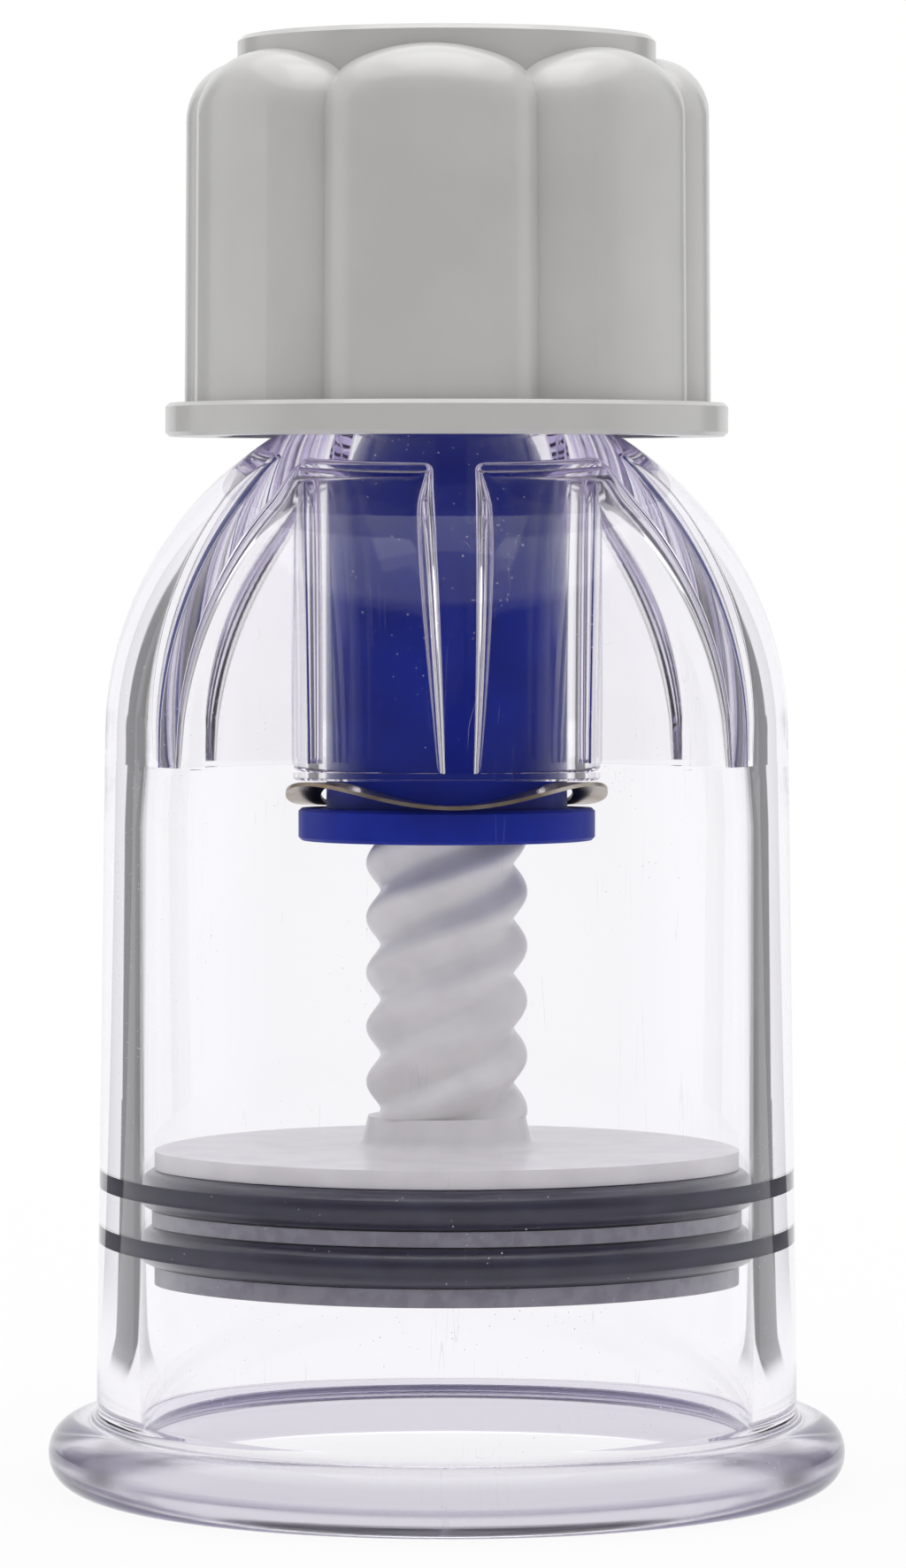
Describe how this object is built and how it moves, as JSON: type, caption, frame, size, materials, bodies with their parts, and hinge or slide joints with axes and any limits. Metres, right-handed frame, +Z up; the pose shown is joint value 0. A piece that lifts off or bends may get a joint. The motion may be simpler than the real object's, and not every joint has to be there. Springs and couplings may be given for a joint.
{
  "type": "twist vacuum cupping cup",
  "caption": "Clear domed massage cup with a lobed twist knob that winds a ringed piston up a coarse screw to draw suction at its rolled rim.",
  "frame": {"origin": "on the cup's axis, in the plane of the rim's flat land", "axes": "+Z up the cup's axis, from the rim to the knob; the front faces -Y"},
  "size_m": [0.06, 0.06, 0.1087],
  "materials": {
    "clear_polycarbonate": "clear polished moulding",
    "blue_nylon": "smooth moulded, dark blue",
    "spring_steel": "rolled spring steel strip",
    "white_abs": "fine satin moulding",
    "zinc_plated_steel": "bright zinc plate",
    "natural_acetal": "natural off-white moulding, greased",
    "black_rubber": "smooth moulded rubber"
  },
  "bodies": {
    "cup": {"barrel": "clear_polycarbonate", "wave_washer": "spring_steel"},
    "grip": {"knob": "white_abs", "knob_cap": "white_abs", "knob_screw": "zinc_plated_steel", "drive_nut": "blue_nylon"},
    "plunger": {"piston_screw": "natural_acetal", "upper_ring": "black_rubber", "lower_ring": "black_rubber", "stop_washer": "zinc_plated_steel", "stop_screw": "zinc_plated_steel"}
  },
  "joints": [
    {"name": "knob_turn", "type": "hinge", "parent": "cup", "child": "grip", "pos_m": [0, 0, 0.0806], "axis": [0, 0, 1], "range_deg": [-660, 290]},
    {"name": "piston_slide", "type": "slide", "parent": "cup", "child": "plunger", "axis": [0, 0, 1], "range_m": [-0.0099, 0.0226]}
  ],
  "couplings": [
    {"joint": "piston_slide", "follows": "knob_turn", "m_per_rad": -0.0019528}
  ]
}
